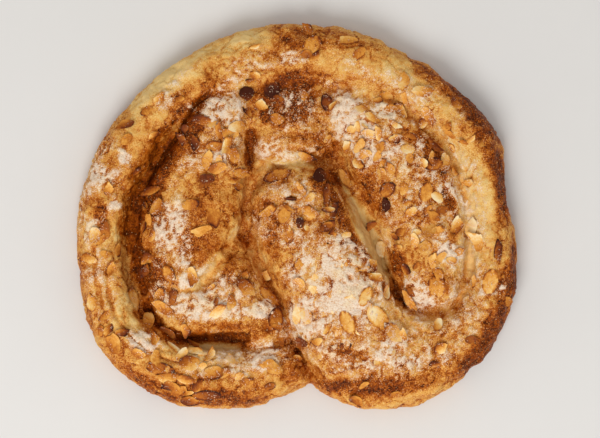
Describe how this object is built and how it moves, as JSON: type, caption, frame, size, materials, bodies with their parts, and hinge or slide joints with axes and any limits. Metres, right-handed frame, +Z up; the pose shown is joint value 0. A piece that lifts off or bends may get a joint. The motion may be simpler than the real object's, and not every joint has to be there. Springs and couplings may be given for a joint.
{
  "type": "kringle pastry",
  "caption": "Flat baked pretzel-shaped pastry: a thick rope of dough crosses itself and ends as a broad tongue, topped with sliced almonds and sugar.",
  "frame": {"origin": "middle of the bounding box's bottom face, on the surface that the pastry lies on", "axes": "+X along the longest side, +Y to the back, away from the notch where the rope crosses itself, +Z up"},
  "size_m": [0.2996, 0.2626, 0.0394],
  "materials": {
    "crust": "baked, golden to deep brown, with patches of coarse sugar",
    "almond": "thin toasted slices, darker at the rim"
  },
  "bodies": {
    "root": {"kringle_dough": "crust", "almond_slice_01": "almond", "almond_slice_02": "almond", "almond_slice_03": "almond", "almond_slice_04": "almond", "almond_slice_05": "almond", "almond_slice_06": "almond", "almond_slice_07": "almond", "almond_slice_08": "almond", "almond_slice_09": "almond", "almond_slice_10": "almond", "almond_slice_11": "almond", "almond_slice_12": "almond", "almond_slice_13": "almond", "almond_slice_14": "almond", "almond_slice_15": "almond", "almond_slice_16": "almond", "almond_slice_17": "almond", "almond_slice_18": "almond", "almond_slice_19": "almond", "almond_slice_20": "almond"}
  },
  "joints": []
}
